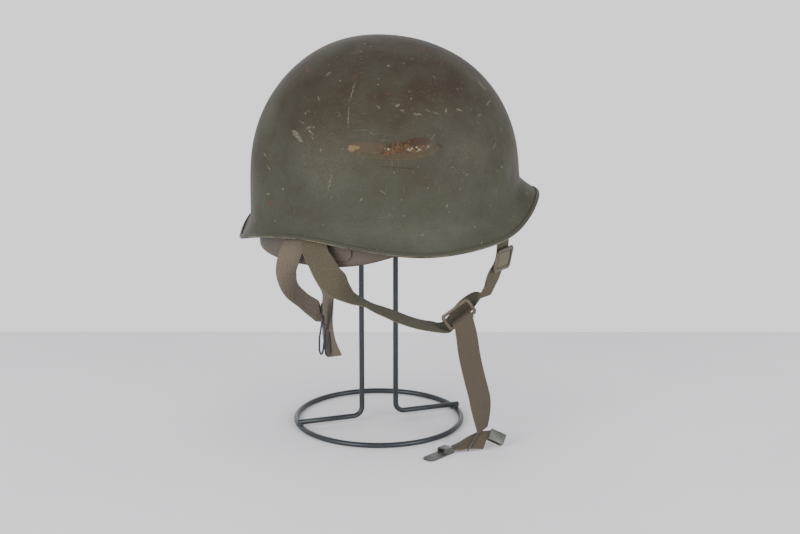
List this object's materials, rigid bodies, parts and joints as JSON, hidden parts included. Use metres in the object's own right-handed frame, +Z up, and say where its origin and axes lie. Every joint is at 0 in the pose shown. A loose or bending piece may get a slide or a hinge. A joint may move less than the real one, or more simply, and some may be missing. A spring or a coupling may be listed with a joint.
{
  "type": "combat helmet on a wire stand",
  "caption": "Steel combat helmet over a fibre liner, with its web chin straps hanging, on a welded wire display stand.",
  "frame": {"origin": "on the table, under the middle of the shell's length and width", "axes": "+X to the front of the helmet, -Y to the wearer's right, +Z up"},
  "size_m": [0.2803, 0.2414, 0.3712],
  "materials": {
    "olive_paint": "matt paint with grit, chipped and rusted",
    "worn_steel": "painted, worn to the metal along its edge",
    "liner_paint": "matt paint on moulded fibre",
    "brown_web": "woven cotton web",
    "green_web": "woven cotton web, diagonal ribs",
    "dark_steel": "dark lacquered round wire",
    "dull_metal": "blackened steel, worn bright in spots",
    "zinc": "dull zinc plate"
  },
  "bodies": {
    "root": {"shell": "olive_paint", "edge_strip": "worn_steel", "liner": "liner_paint", "liner_plate": "dull_metal", "stand": "dark_steel", "near_chin_strap": "brown_web", "far_chin_strap": "brown_web", "hook_clasp": "dark_steel", "yoke_strap": "green_web", "front_slide": "dull_metal", "slide_fold": "brown_web", "strap_tail": "brown_web", "junction_buckle": "dull_metal", "chin_strap": "brown_web", "end_web": "brown_web", "end_slide": "zinc", "end_clip": "zinc", "clip_pin": "dull_metal", "hook_plate": "dull_metal"}
  },
  "joints": []
}
